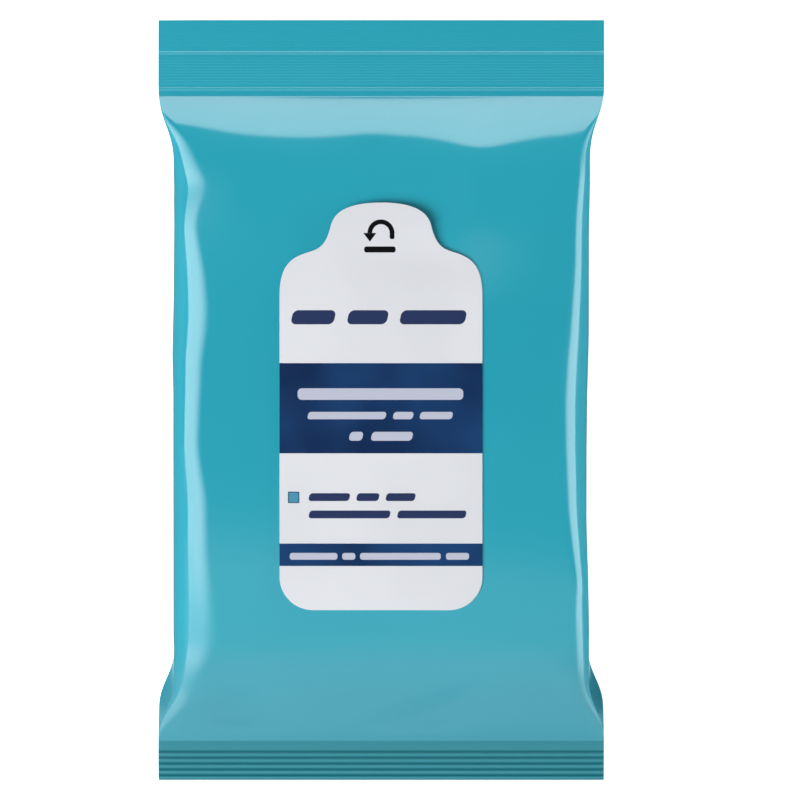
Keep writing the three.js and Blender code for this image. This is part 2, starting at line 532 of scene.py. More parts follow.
@dataclass(frozen=True)
class FootGrooves:
    """The grooves across the foot's crimp, counted from its cut edge."""

    first: float = 0.95
    pitch: float = 1.12
    count: int = 5
    half_width: float = 0.34
    depth: float = 0.17


@dataclass(frozen=True)
class HeadLines:
    """The two raised lines and the fine ribs across the head's crimp."""

    bead_insets: Pair = (6.27, 13.15)  # from the cut edge
    bead_half: float = 0.42
    bead_height: float = 0.16
    rib_pitch: float = 0.55
    rib_height: float = 0.018
    beside_bead: Pair = (0.5, 1.0)  # from a bead's middle: where the ribs begin, and are full
    beside_root: Pair = (0.5, 1.2)  # the same from where the crimp begins
    beside_cut: float = 0.5  # from the cut edge to where the ribs are full


def pressed_lines(y: Array, half_length: float, head_line: float) -> Array:
    """Shift of both faces where the sealing jaws pressed them.

    Args:
        y: Places along the pack.
        half_length: Y of the head's cut edge.
        head_line: Y at which the head's crimp begins.

    Returns:
        Five cosine grooves in the foot, two cosine beads in the head, and fine cosine ribs over
        the rest of the head.
    """
    shift = np.zeros_like(y)
    for i in range(FootGrooves.count):
        centre = FootGrooves.first + i * FootGrooves.pitch - half_length
        shift -= FootGrooves.depth * cosine_bump(y - centre, FootGrooves.half_width)
    ribbed = between(y, *(head_line + margin for margin in HeadLines.beside_root))
    ribbed = ribbed * between(y, half_length, half_length - HeadLines.beside_cut)
    for inset in HeadLines.bead_insets:
        from_bead = y - half_length + inset
        shift += HeadLines.bead_height * cosine_bump(from_bead, HeadLines.bead_half)
        ribbed = ribbed * between(np.abs(from_bead), *HeadLines.beside_bead)
    return shift + HeadLines.rib_height * ribbed * np.cos(2 * np.pi * y / HeadLines.rib_pitch)


@dataclass(frozen=True)
class FinForm:
    """The long seal on the back, which lies over to one side between the film and the table."""

    root: float = -1.0
    width: float = 9.0
    thickness: float = 0.25
    crimped: float = 0.1
    step: float = 0.15
    relief: float = 6.0
    emerges: float = 2.5  # run over which it comes out of a crimp
    gap: float = 0.02
    bury: float = 0.3  # how far its ends run into the crimps
    ridge_pitch: float = 0.75
    ridge_height: float = 0.05
    sealed_from: Pair = (0.16, 0.22)  # shares of its width: where the ridges begin, and are full
    sealed_to: Pair = (0.95, 0.9)  # and the same from its free edge

    @classmethod
    def stand_off(cls, x: Array, inside: Array) -> Array:
        """How far the film is pushed up by the fin.

        In a crimp the fin is pressed in, so only the film beside it stands off. Over the body the
        film passes over the fin too.

        Args:
            x: Places across the pack.
            inside: Distance in from the nearer crimp.

        Returns:
            0 where the film lies flat and 1 where it stands off by the fin's thickness.
        """
        outside = np.maximum(cls.root - x, x - cls.root - cls.width)
        away = 1 - between(outside, cls.step, cls.relief)
        beside = between(outside, 0, cls.step) * away
        return mix(beside, away, between(inside, 0, cls.emerges))

    @classmethod
    def ridges(cls, across: Array) -> Array:
        """Raised cosines along the sealed part, at shares of the fin's width, from 0 to 1."""
        sealed = between(across, *cls.sealed_from) * between(across, *cls.sealed_to)
        return sealed * (1 - np.cos(2 * np.pi * across * cls.width / cls.ridge_pitch)) / 2


@dataclass(frozen=True)
class End:
    """One end of the pack. Spreads are distances in from the crimp: where it starts and ends."""

    crimp: float
    rise: float  # run over which the front becomes level
    drop: float  # run over which the back becomes level
    droop: float  # how far the cut edge hangs below the crimp's root
    front_spread: Pair
    back_spread: Pair


@dataclass(frozen=True)
class Dent:
    """A shallow dip in the front film, or a swell if its depth is negative."""

    x: float
    y: float
    wide: float
    long: float
    lean: float  # how far its middle line climbs for each millimetre across
    depth: float


@dataclass(frozen=True)
class Section:
    """The cross-section's sizes at each row: columns of numbers, one a row."""

    inside: Array  # distance in from the nearer crimp
    from_foot: Array
    sheet: Array  # height of the crimped sheet
    rise: Array  # how far the front stands above the sheet
    back: Array  # how far the back lies below it
    left: Array  # half widths of the front
    right: Array
    back_left: Array  # half widths of the back
    back_right: Array
    left_curve: Array  # radii of the shoulders
    right_curve: Array
    back_curve: Array
    tuck: Array
    bulge: Array
    fin: Array


@dataclass(frozen=True)
class PouchForm:
    """The filled pouch as heights over the plan, worked out from a few driving sizes."""

    half_length: float
    half_seal: float
    thickness: float
    half_body: float = 39.7
    seal_plane: float = 7.2
    skin: float = 0.25
    crown: float = 0.1
    back_shoulder: float = 0.7
    back_curve: float = 6.0
    seal_curve: float = 0.6
    curve_run: float = 12.5
    side_bulge: float = 0.15
    tuck_depth: float = 2.6
    tuck_deepest: float = 3.0
    tuck_ends: float = 21.0
    swell_runs: Pair = (15.0, 44.0)  # from the head's crimp: where the swell is highest, and ends
    pucker_depth: float = 0.3
    pucker_runs: Pair = (5.0, 24.0)  # from a crimp: where the puckers are deepest, and end
    pucker_waves: tuple[Pair, Pair] = ((2.1, 0.8), (5.3, -0.4))  # each wave's run and its start
    head: End = End(14.5, 30.0, 16.0, 0.9, (13.5, -2.0), (13.5, -2.0))
    foot: End = End(7.5, 49.0, 18.0, 0.4, (12.0, 0.0), (18.0, 6.0))
    foot_skew: float = 0.17  # millimetres that the foot's rise is longer for each one to the left
    left_radius: Course = Course(
        (
            (-65, 5.5), (-56, 8.2), (-47, 9.6), (-38, 8.2), (-28, 7.2), (-19, 7.1), (-14, 6.2),
            (-9, 5.4), (0, 5.8), (7, 6.3), (12, 7.1), (17, 7.4), (24, 6.6), (29, 5.4), (33, 4.6),
            (36, 5.2), (41, 7.0), (44, 5.7), (47, 4.4),
        ),
        ease=2.5,
    )
    right_radius: Course = Course(
        (
            (-65, 3.0), (-46, 4.1), (-39, 3.9), (-35, 3.2), (-29, 4.0), (-20, 5.2), (-9, 5.9),
            (0, 6.15), (8, 5.8), (17, 4.8), (25, 3.9), (35, 3.5), (44, 2.7),
        ),
        ease=3.0,
    )
    left_outline: Course = Course(
        (
            (-48, 0.0), (2, 0.0), (9, 0.2), (16, 0.0), (34, -0.2), (44, 0.0), (50, -0.1),
            (56, -0.1), (59, 0.0),
        ),
        ease=4.0,
    )
    right_outline: Course = Course(
        (
            (-44, 0.0), (-34, -0.2), (-24, -0.5), (-10, -0.48), (0, -0.38), (12, -0.05),
            (32, -0.05), (42, 0.17), (47.5, 0.15), (49, 0.0), (51, -0.3), (55.5, -0.3),
            (57, -0.05), (58.5, 0.05),
        ),
        ease=4.0,
    )
    swells: Course = Course(
        (
            (-41, -0.1), (-35, -0.06), (-29, -0.015), (-24, 0.005), (-16, 0.012), (-10, 0.0),
            (-2, -0.04), (8, 0.0), (13, 0.045), (19, 0.145), (24, 0.075), (30, 0.03), (36, 0.02),
            (40, -0.02),
        ),
        ease=4.0,
    )
    dents: tuple[Dent, ...] = (
        Dent(-27.0, -58.5, 8.0, 4.0, 0.0, 0.75),
        Dent(12.0, -58.5, 11.0, 3.6, 0.35, 0.75),
        Dent(-36.0, -52.5, 3.5, 5.0, 0.0, -0.3),
        Dent(36.5, -53.5, 3.0, 4.5, 0.0, -0.35),
    )
    dents_begin: float = 5.0  # from the foot's crimp to where the dents have their full depth

    @classmethod
    def from_frame(cls) -> "PouchForm":
        """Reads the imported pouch's box.

        Returns:
            The form that fills it.
        """
        low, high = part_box("film_pouch")
        half_seal = (high.x - low.x) / 2 / MM
        return cls((high.y - low.y) / 2 / MM, half_seal, (high.z - low.z) / MM)

    @property
    def head_line(self) -> float:
        """Y at which the head's crimp begins."""
        return self.half_length - self.head.crimp

    @property
    def foot_line(self) -> float:
        """Y at which the foot's crimp begins."""
        return self.foot.crimp - self.half_length

    def section(self, y: Array) -> Section:
        """Works out the cross-section along the pack.

        Args:
            y: Places along the pack.

        Returns:
            Every size of the cross-section at each of them.
        """
        from_head, from_foot = self.head_line - y, y - self.foot_line
        inside = np.maximum(0, np.minimum(from_head, from_foot))
        widening = between(inside, 0, self.curve_run)
        rounding = between(from_head, 0, self.curve_run)
        opening = between(inside, 0, self.tuck_deepest)
        opening = opening * (1 - between(inside, self.tuck_deepest, self.tuck_ends))
        rise = self.thickness - self.seal_plane - self.skin
        drop = self.seal_plane - self.skin
        spread = self.half_seal - self.half_body
        head_spread = spread * (1 - between(from_head, *self.head.front_spread[::-1]))
        half = self.half_body - self.side_bulge * widening + head_spread
        front = half + spread * (1 - between(from_foot, *self.foot.front_spread[::-1]))
        back = half + spread * (1 - between(from_foot, *self.foot.back_spread[::-1]))
        left, right = self.left_outline.at(y), self.right_outline.at(y)
        return Section(
            inside=inside,
            from_foot=from_foot,
            sheet=self.sheet_height(y) + pressed_lines(y, self.half_length, self.head_line),
            rise=rise * level(from_head, self.head.rise),
            back=self.skin + drop * level(from_head, self.head.drop) * level(from_foot, self.foot.drop),
            left=front + left,
            right=front + right,
            back_left=back + left,
            back_right=back + right,
            left_curve=mix(self.seal_curve, self.left_radius.at(y), rounding),
            right_curve=mix(self.seal_curve, self.right_radius.at(y), rounding),
            back_curve=mix(self.seal_curve, self.back_curve, widening),
            tuck=self.tuck_depth * opening,
            bulge=self.side_bulge * widening,
            fin=mix(FinForm.crimped, FinForm.thickness, widening),
        )

    def sheet_height(self, y: Array) -> Array:
        """Height of the crimped sheet, which sags towards its cut edges as a parabola.

        Args:
            y: Places along the pack.

        Returns:
            Heights above the table.
        """
        head = np.maximum(0, y - self.head_line) / self.head.crimp
        foot = np.maximum(0, self.foot_line - y) / self.foot.crimp
        return self.seal_plane - self.head.droop * head**2 - self.foot.droop * foot**2

    def front_height(self, x: Array, y: Array, s: Section | None = None) -> Array:
        """Height of the front film.

        It is the sheet's height plus the front's rise, less a crown that grows as x squared, less
        a shoulder along each side, plus the swell below the head's crimp, less the dents. The
        shoulder is a quarter of a circle, flattened where the front is lower than over the body.

        Args:
            x: Places across the pack.
            y: Places along the pack.
            s: The cross-section at each y, if it is at hand.

        Returns:
            Heights above the table.
        """
        s = s or self.section(y)
        half = np.where(x < 0, s.left, s.right)
        curve = np.where(x < 0, s.left_curve, s.right_curve)
        along = clamp01((np.abs(x) - (half - curve)) / curve)
        shoulder = curve * (1 - np.sqrt(1 - along * along)) / (self.thickness - self.seal_plane)
        crown = self.crown * (x / half) ** 2
        front = self.skin + s.rise * level(s.from_foot, self.foot.rise - self.foot_skew * x)
        return s.sheet + front * (1 - crown - shoulder) + self.swell(x, y) - self.dented(x, y)

    def swell(self, x: Array, y: Array) -> Array:
        """How far the film stands proud just inside the head's crimp.

        It rises smoothly over the first run and dies away up to the second. The course gives its
        steepest slope along Y at each x.

        Args:
            x: Places across the pack.
            y: Places along the pack.

        Returns:
            What to add to the front's height.
        """
        inside = self.head_line - y
        highest, ends = self.swell_runs
        shape = between(inside, 0, highest) * (1 - between(inside, highest, ends))
        return self.swells.at(x) * (highest / STEEPEST) * shape

    def dented(self, x: Array, y: Array) -> Array:
        """How deep the film dips round the foot's end of the wipes: a few bell curves.

        Args:
            x: Places across the pack.
            y: Places along the pack.

        Returns:
            What to take off the front's height.
        """
        depth = 0.0
        for dent in self.dents:
            across, along = (x - dent.x) / dent.wide, (y - dent.y - dent.lean * (x - dent.x)) / dent.long
            depth = depth + dent.depth * np.exp(-(across**2) - along**2)
        return depth * between(y - self.foot_line, 0, self.dents_begin)

    def back_height(self, x: Array, s: Section) -> Array:
        """Height of the back film, flat on the table but where it passes over the fin.

        Args:
            x: Places across the pack.
            s: The cross-section at each row.

        Returns:
            Heights above the table.
        """
        half = np.where(x < 0, s.back_left, s.back_right)
        along = clamp01((np.abs(x) - (half - s.back_curve)) / s.back_curve)
        shoulder = self.back_shoulder * s.back * (1 - np.sqrt(1 - along * along))
        lift = s.fin * FinForm.stand_off(x, s.inside)
        return s.sheet - s.back + shoulder + lift + self.puckers(x, s)

    def puckers(self, x: Array, s: Section) -> Array:
        """Small folds of the back film that fan out of the crimps and die away.

        Args:
            x: Places across the pack.
            s: The cross-section at each row.

        Returns:
            Heights of the squared crests of two sines multiplied.
        """
        deepest, ends = self.pucker_runs
        depth = self.pucker_depth * between(s.inside, 0, deepest) * (1 - between(s.inside, deepest, ends))
        (short, start), (long, other_start) = self.pucker_waves
        waves = np.sin(x / short + start) * np.sin(x / long + other_start)
        return depth * clamp01(waves) ** 2


# ---- film wrapper ----


@dataclass
class FilmWrapper:
    """The folded and sealed film: the filled pouch and the fin seal behind it."""

    form: PouchForm
    fin: FinForm = FinForm()
    foot_spacing: float = 0.08  # between rows in the foot's crimp
    head_spacing: float = 0.092
    body_rows: int = 164
    crowding: float = 0.72  # 0 spaces the body's rows evenly, and 1 crowds them at the crimps
    middle_columns: int = 72
    side_columns: int = 26
    wall_columns: int = 12
    back_columns: int = 11
    back_side_columns: int = 8
    beside_fin: tuple[float, ...] = (0.0, 0.08, 0.15, 0.6, 1.2)  # columns out from its two edges
    within_fin: float = 3.0  # and one in from each
    fin_rows: int = 90
    fin_columns: int = 61
    sharp_fold: Pair = (2.0, 12.0)  # from a crimp: the wall's fold is sharp up to, and soft from
    upright: Pair = (3.0, 9.0)  # from a crimp: the wall's points are even up to, crowded down from

    def rows(self) -> Array:
        """Places the rings: close together in the crimps, and crowded at the body's two ends.

        The body's rows are at t - k sin(2 pi t) / 2 pi of the way along it.

        Returns:
            Y of each ring.
        """
        form = self.form
        t = np.linspace(0, 1, self.body_rows)
        t = t - self.crowding * np.sin(2 * np.pi * t) / (2 * np.pi)
        foot = np.arange(-form.half_length, form.foot_line - self.foot_spacing / 2, self.foot_spacing)
        head = np.arange(form.half_length, form.head_line + self.head_spacing / 2, -self.head_spacing)
        return np.concatenate([foot, mix(form.foot_line, form.head_line, t), head[::-1]])

    def front_x(self, s: Section) -> Array:
        """Places columns over the front: even in the middle, and at even turns round a shoulder.

        Args:
            s: The cross-section at each row.

        Returns:
            X of each point, from left to right.
        """
        turn = np.sin(np.linspace(0, np.pi / 2, self.side_columns + 1)[1:])
        middle = np.linspace(0, 1, self.middle_columns)
        left, right = s.left - s.left_curve, s.right - s.right_curve
        columns = [
            -(left + s.left_curve * turn)[:, ::-1],
            mix(-left, right, middle),
            right + s.right_curve * turn,
        ]
        return np.concatenate(columns, axis=1)

    def back_x(self, s: Section) -> Array:
        """Places columns under the back, crowded at the fin's root and its free edge.

        Args:
            s: The cross-section at each row.

        Returns:
            X of each point, from left to right.
        """
        turn = np.sin(np.linspace(0, np.pi / 2, self.back_side_columns + 1)[1:])
        root, edge = self.fin.root, self.fin.root + self.fin.width
        near = np.array(self.beside_fin)
        under = [root + self.within_fin, edge - self.within_fin]
        zone = np.concatenate([root - near[::-1], under, edge + near])
        left, right = s.back_left - s.back_curve, s.back_right - s.back_curve
        even = np.linspace(0, 1, self.back_columns + 1)[:-1]
        columns = [
            -(left + s.back_curve * turn)[:, ::-1],
            mix(-left, zone[0], even),
            np.broadcast_to(zone, (len(left), len(zone))),
            mix(zone[-1], right, even + even[1]),
            right + s.back_curve * turn,
        ]
        return np.concatenate(columns, axis=1)

    def wall(self, s: Section, y: Array, side: int) -> tuple[Array, Array]:
        """Places a side wall's inner points, from the front's edge down.

        Beside a crimp the wall folds inwards, sharply near the crimp and softly further off, and
        along the body it bulges as a squared sine.

        Args:
            s: The cross-section at each row.
            y: Y of each row.
            side: -1 for the left wall and 1 for the right one.

        Returns:
            X and Z of each point.
        """
        top_half = s.left if side < 0 else s.right
        bottom_half = s.back_left if side < 0 else s.back_right
        t = np.arange(1, self.wall_columns + 1) / (self.wall_columns + 1)
        round_fold = np.sin(np.pi * t) ** 2
        fold = mix(1 - np.abs(2 * t - 1), round_fold, between(s.inside, *self.sharp_fold))
        x = mix(top_half, bottom_half, t**3) - s.tuck * fold + s.bulge * round_fold
        top = self.form.front_height(side * top_half, y, s)
        bottom = self.form.back_height(side * bottom_half, s)
        return side * x, mix(top, bottom, mix(t, 1 - (1 - t) ** 2, between(s.inside, *self.upright)))

    def pouch(self) -> Tube:
        """Works out the filled pouch: over the front, down the right wall, back under and up the left.

        Returns:
            The pouch as a tube along Y.
        """
        y = self.rows()[:, None]
        s = self.form.section(y)
        front, back = self.front_x(s), self.back_x(s)[:, ::-1]
        right_x, right_z = self.wall(s, y, 1)
        left_x, left_z = self.wall(s, y, -1)
        front_z, back_z = self.form.front_height(front, y, s), self.form.back_height(back, s)
        x = np.concatenate([front, right_x, back, left_x[:, ::-1]], axis=1)
        z = np.concatenate([front_z, right_z, back_z, left_z[:, ::-1]], axis=1)
        points = np.stack([x, np.broadcast_to(y, x.shape), z], axis=-1)
        return round_tube(points, BakeMap.pouch)

    def fin_seal(self) -> Tube:
        """Works out the fin: a thin strip under the back, with fine ridges along its sealed part.

        Its rows follow a cosine, so they are closer together at its ends.

        Returns:
            The fin as a tube along Y.
        """
        form, fin = self.form, self.fin
        ends = (form.foot_line - fin.bury, form.head_line + fin.bury)
        y = mix(*ends, (1 - np.cos(np.linspace(0, np.pi, self.fin_rows))) / 2)[:, None]
        s = form.section(y)
        across = np.linspace(0, 1, self.fin_columns)
        floor = s.sheet - s.back
        under = floor + fin.gap + fin.ridge_height * fin.ridges(across)
        over = np.broadcast_to(floor + s.fin - fin.gap, under.shape)
        x = np.broadcast_to(fin.root + fin.width * across, under.shape)
        ring_x = np.concatenate([x, x[:, ::-1]], axis=1)
        ring_z = np.concatenate([over, under[:, ::-1]], axis=1)
        points = np.stack([ring_x, np.broadcast_to(y, ring_x.shape), ring_z], axis=-1)
        return round_tube(points, BakeMap.fin)

    def build(self, finish: "FilmFinish", groups: "SharedGroups") -> bpy.types.Object:
        """Makes the piece, dresses it and sets it in the frame.

        Args:
            finish: The film's finish.
            groups: The shared node groups.

        Returns:
            The finished piece.
        """
        piece = mesh_piece("film_wrapper", [self.pouch(), self.fin_seal()], sharp_over=55)
        piece.data.materials.append(finish.material(self.form, groups))
        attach(piece, "root")
        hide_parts("film_pouch")
        return piece


# ---- reseal label ----


@dataclass
class ResealLabel:
    """The peel-back label: its plan outline, and how it lies on the front film."""

    form: PouchForm
    half_width: float
    top: float
    length: float
    corner: float = 6.3
    thickness: float = 0.28
    gap: float = 0.1
    tab_lift: float = 1.5
    tab_turn: float = 0.03  # share that its lift grows by for each millimetre to the right
    tab_root: float = 14.0
    edge: float = 0.06  # how far the cut edge is rounded outwards
    columns: int = 60
    curve_steps: tuple[int, ...] = (30, 18, 22, 26)  # for the tab, its neck, the shoulder, the foot
    side_steps: int = 90

    @classmethod
    def from_frame(cls, form: PouchForm) -> "ResealLabel":
        """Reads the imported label's box, which is a hair short of its tip.

        Args:
            form: The pouch's form.

        Returns:
            The label that fills it.
        """
        tip = 0.02
        low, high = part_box("reseal_label")
        half_width = (high.x - low.x) / 2 / MM
        return cls(form, half_width, high.y / MM + tip, (high.y - low.y) / MM + tip)

    def outline(self) -> Array:
        """Draws half the outline from the tab's tip down: tab, neck, shoulder, side and foot.

        Returns:
            Half width and distance from the tip of each point.
        """
        wide, length, corner = self.half_width, self.length, self.corner
        handle = corner * (1 - ROUND_HANDLE)
        tab = [(0, 0), (4.5, 0), (8.6, 0.9), (9.45, 4.4)]
        neck = [(9.45, 4.4), (10, 6.6), (10.7, 8.4), (12.9, 9.1)]
        shoulder = [(12.9, 9.1), (16.2, 10.15), (wide, 10.9), (wide, 17.6)]
        foot = [
            (wide, length - corner),
            (wide, length - handle),
            (wide - handle, length),
            (wide - corner, length),
        ]
        curves = [bezier(*curve) for curve in zip((tab, neck, shoulder, foot), self.curve_steps)]
        side = np.linspace(shoulder[-1], foot[0], self.side_steps)[1:]
        return np.concatenate([*curves[:-1], side, curves[-1]])

    def tube(self) -> Tube:
        """Works out the thin solid: over the top to the right, round the edge, and back underneath.

        The tab's lift is a smooth step from its root, and is larger on the right than on the left.

        Returns:
            The label as a tube along Y.
        """
        outline = self.outline()[::-1]
        half, from_tip = outline[:, :1], outline[:, 1:]
        y = self.top - from_tip
        x = half * np.linspace(-1, 1, self.columns + 1)
        lift = self.tab_lift * (1 + self.tab_turn * x) * between(self.tab_root - from_tip, 0, self.tab_root)
        z = self.form.front_height(x, y) + self.gap + lift
        middle = z + self.thickness / 2
        ring_x = np.concatenate([-half - self.edge, x, half + self.edge, x[:, ::-1]], axis=1)
        ring_z = np.concatenate([middle[:, :1], z + self.thickness, middle[:, -1:], z[:, ::-1]], axis=1)
        points = np.stack([ring_x, np.broadcast_to(y, ring_x.shape), ring_z], axis=-1)
        return self.mapped(points)

    def mapped(self, points: Array) -> Tube:
        """Lays the label on its bake map: its top on the left half, its underside on the right.

        Places on the map are true lengths measured along each ring from its middle.

        Args:
            points: The label's rings.

        Returns:
            The label's tube.
        """
        steps = np.linalg.norm(np.diff(points, axis=1, append=points[:, :1]), axis=2)
        length = np.concatenate([np.zeros((len(points), 1)), np.cumsum(steps, axis=1)], axis=1)
        scale = BakeMap.label_width / (2 * (self.half_width + 1))
        split = self.columns + 2
        across = []
        for start, middle in zip((1, split + 1), BakeMap.label_middles):
            centre = start + self.columns // 2
            across.append(middle + scale * (length - length[:, centre : centre + 1]))
        return Tube(points, across[0], BakeMap.rows(points), split, across[1])

    def build(self, finish: "LabelFinish", groups: "SharedGroups") -> bpy.types.Object:
        """Makes the piece, marks its printed face, dresses it and sets it in the frame.

        Args:
            finish: The label's finish.
            groups: The shared node groups.

        Returns:
            The finished piece.
        """
        tube = self.tube()
        piece = mesh_piece("reseal_label", [tube], sharp_over=60)
        printed = np.zeros(tube.points.shape[:2], np.float32)
        printed[:, : self.columns + 3] = 1
        mark = piece.data.attributes.new("printed_face", "FLOAT", "POINT")
        mark.data.foreach_set("value", printed.ravel())
        piece.data.materials.append(finish.material(self, groups))
        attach(piece, "root")
        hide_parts("reseal_label")
        return piece


# ---- print ----


class Ink(Enum):
    """The inks on the label, as linear colours."""

    NAVY = (0.021, 0.035, 0.105)
    SILVER = (0.50, 0.53, 0.64)
    BLACK = (0.001, 0.001, 0.002)
    BLUE = (0.07, 0.28, 0.43)
    BLUE_RIM = (0.028, 0.11, 0.20)


@dataclass(frozen=True)
class Bar:
    """One printed bar: its middle, and half its width and its height."""

    middle: Pair
    half: Pair
    slant: float = 0.0  # how far it leans to the right for each millimetre up
    corner: float | None = None  # its corner's radius, or None for nearly round ends
    round_end: float = 0.75  # share of half its height that a nearly round end's radius is

    def mask(self, sketch: Sketch, group: Tree, place: tuple[Socket, Socket], softness: float) -> Socket:
        """Places the bar in a material.

        Args:
            sketch: The material's sketch.
            group: The group made by rounded_bar.
            place: The point's place across and down the label.
            softness: Millimetres over which its edge fades.

        Returns:
            1 in the bar and 0 outside it.
        """
        made = sketch.node("ShaderNodeGroup", node_tree=group)
        radius = self.round_end * self.half[1] if self.corner is None else self.corner
        values = [*place, *self.middle, *self.half, radius, self.slant, softness]
        for socket, value in zip(made.inputs, values):
            sketch.feed(socket, value)
        return made.outputs["Mask"]


@dataclass(frozen=True)
class WordLine:
    """A line of plain bars, one for each word: (left, right) of each, and its top and bottom."""

    ink: Ink
    top: float
    bottom: float
    words: tuple[Pair, ...]
    slant: float = 0.0

    def bars(self) -> list[Bar]:
        """Makes the line's bars.

        Returns:
            One for each word, from the left.
        """
        middle, half = (self.top + self.bottom) / 2, (self.bottom - self.top) / 2
        lean = self.slant * half
        return [
            Bar(((left + right) / 2, middle), ((right - left) / 2 - lean, half), self.slant)
            for left, right in self.words
        ]


@dataclass(frozen=True)
class LabelPrint:
    """What is printed on the label, in millimetres from its middle and from the tab's tip."""

    wide_band: Pair = (30.36, 47.43)
    narrow_band: Pair = (64.50, 68.76)
    square: Pair = (-16.53, 55.77)
    square_half: float = 1.09
    square_rim: float = 0.22
    square_corner: float = 0.05
    arrow_centre: float = 5.75  # from the tip
    arrow_radius: float = 2.1
    arrow_stroke: float = 0.9
    arrow_leg: Bar = Bar((2.1, 6.05), (0.45, 0.85), corner=0.3)
    arrow_tip: float = 1.65  # below the centre
    arrow_taper: float = 0.75  # how much the head's half width grows for each millimetre up
    lines: tuple[WordLine, ...] = (
        WordLine(Ink.BLACK, 8.29, 9.43, ((-3.18, 2.78),)),
        WordLine(Ink.NAVY, 20.34, 23.02, ((-17.17, -8.43), (-6.55, 1.59), (3.37, 16.37)), 0.22),
        WordLine(Ink.SILVER, 35.13, 37.31, ((-15.78, 15.58),)),
        WordLine(Ink.SILVER, 39.59, 40.98, ((-13.99, 1.09), (2.18, 6.25), (7.24, 13.69)), 0.22),
        WordLine(Ink.SILVER, 43.36, 45.05, ((-6.15, -3.27), (-1.98, 6.15)), 0.22),
        WordLine(Ink.NAVY, 54.97, 56.46, ((-13.79, -5.76), (-4.76, -0.20), (0.79, 6.65)), 0.22),
        WordLine(Ink.NAVY, 58.25, 59.73, ((-13.79, 1.89), (2.98, 16.27)), 0.22),
        WordLine(
            Ink.SILVER, 66.28, 67.57, ((-17.27, -8.24), (-7.34, -4.86), (-3.97, 11.31), (12.30, 16.67))
        ),
    )


# ---- finishes ----


@dataclass(frozen=True)
class SharedGroups:
    """The node groups that the materials place."""

    variation: Tree
    bar: Tree


def new_material(name: str) -> tuple[bpy.types.Material, Sketch, Node]:
    """An empty node material.

    Args:
        name: The material's name.

    Returns:
        The material, a Sketch of it, and its Principled shader, which is joined to its output.
    """
    material = bpy.data.materials.new(name)
    material.use_nodes = True
    sketch = Sketch(material.node_tree)
    shader = sketch.node("ShaderNodeBsdfPrincipled")
    sketch.feed(sketch.node("ShaderNodeOutputMaterial").inputs["Surface"], shader.outputs[0])
    return material, sketch, shader


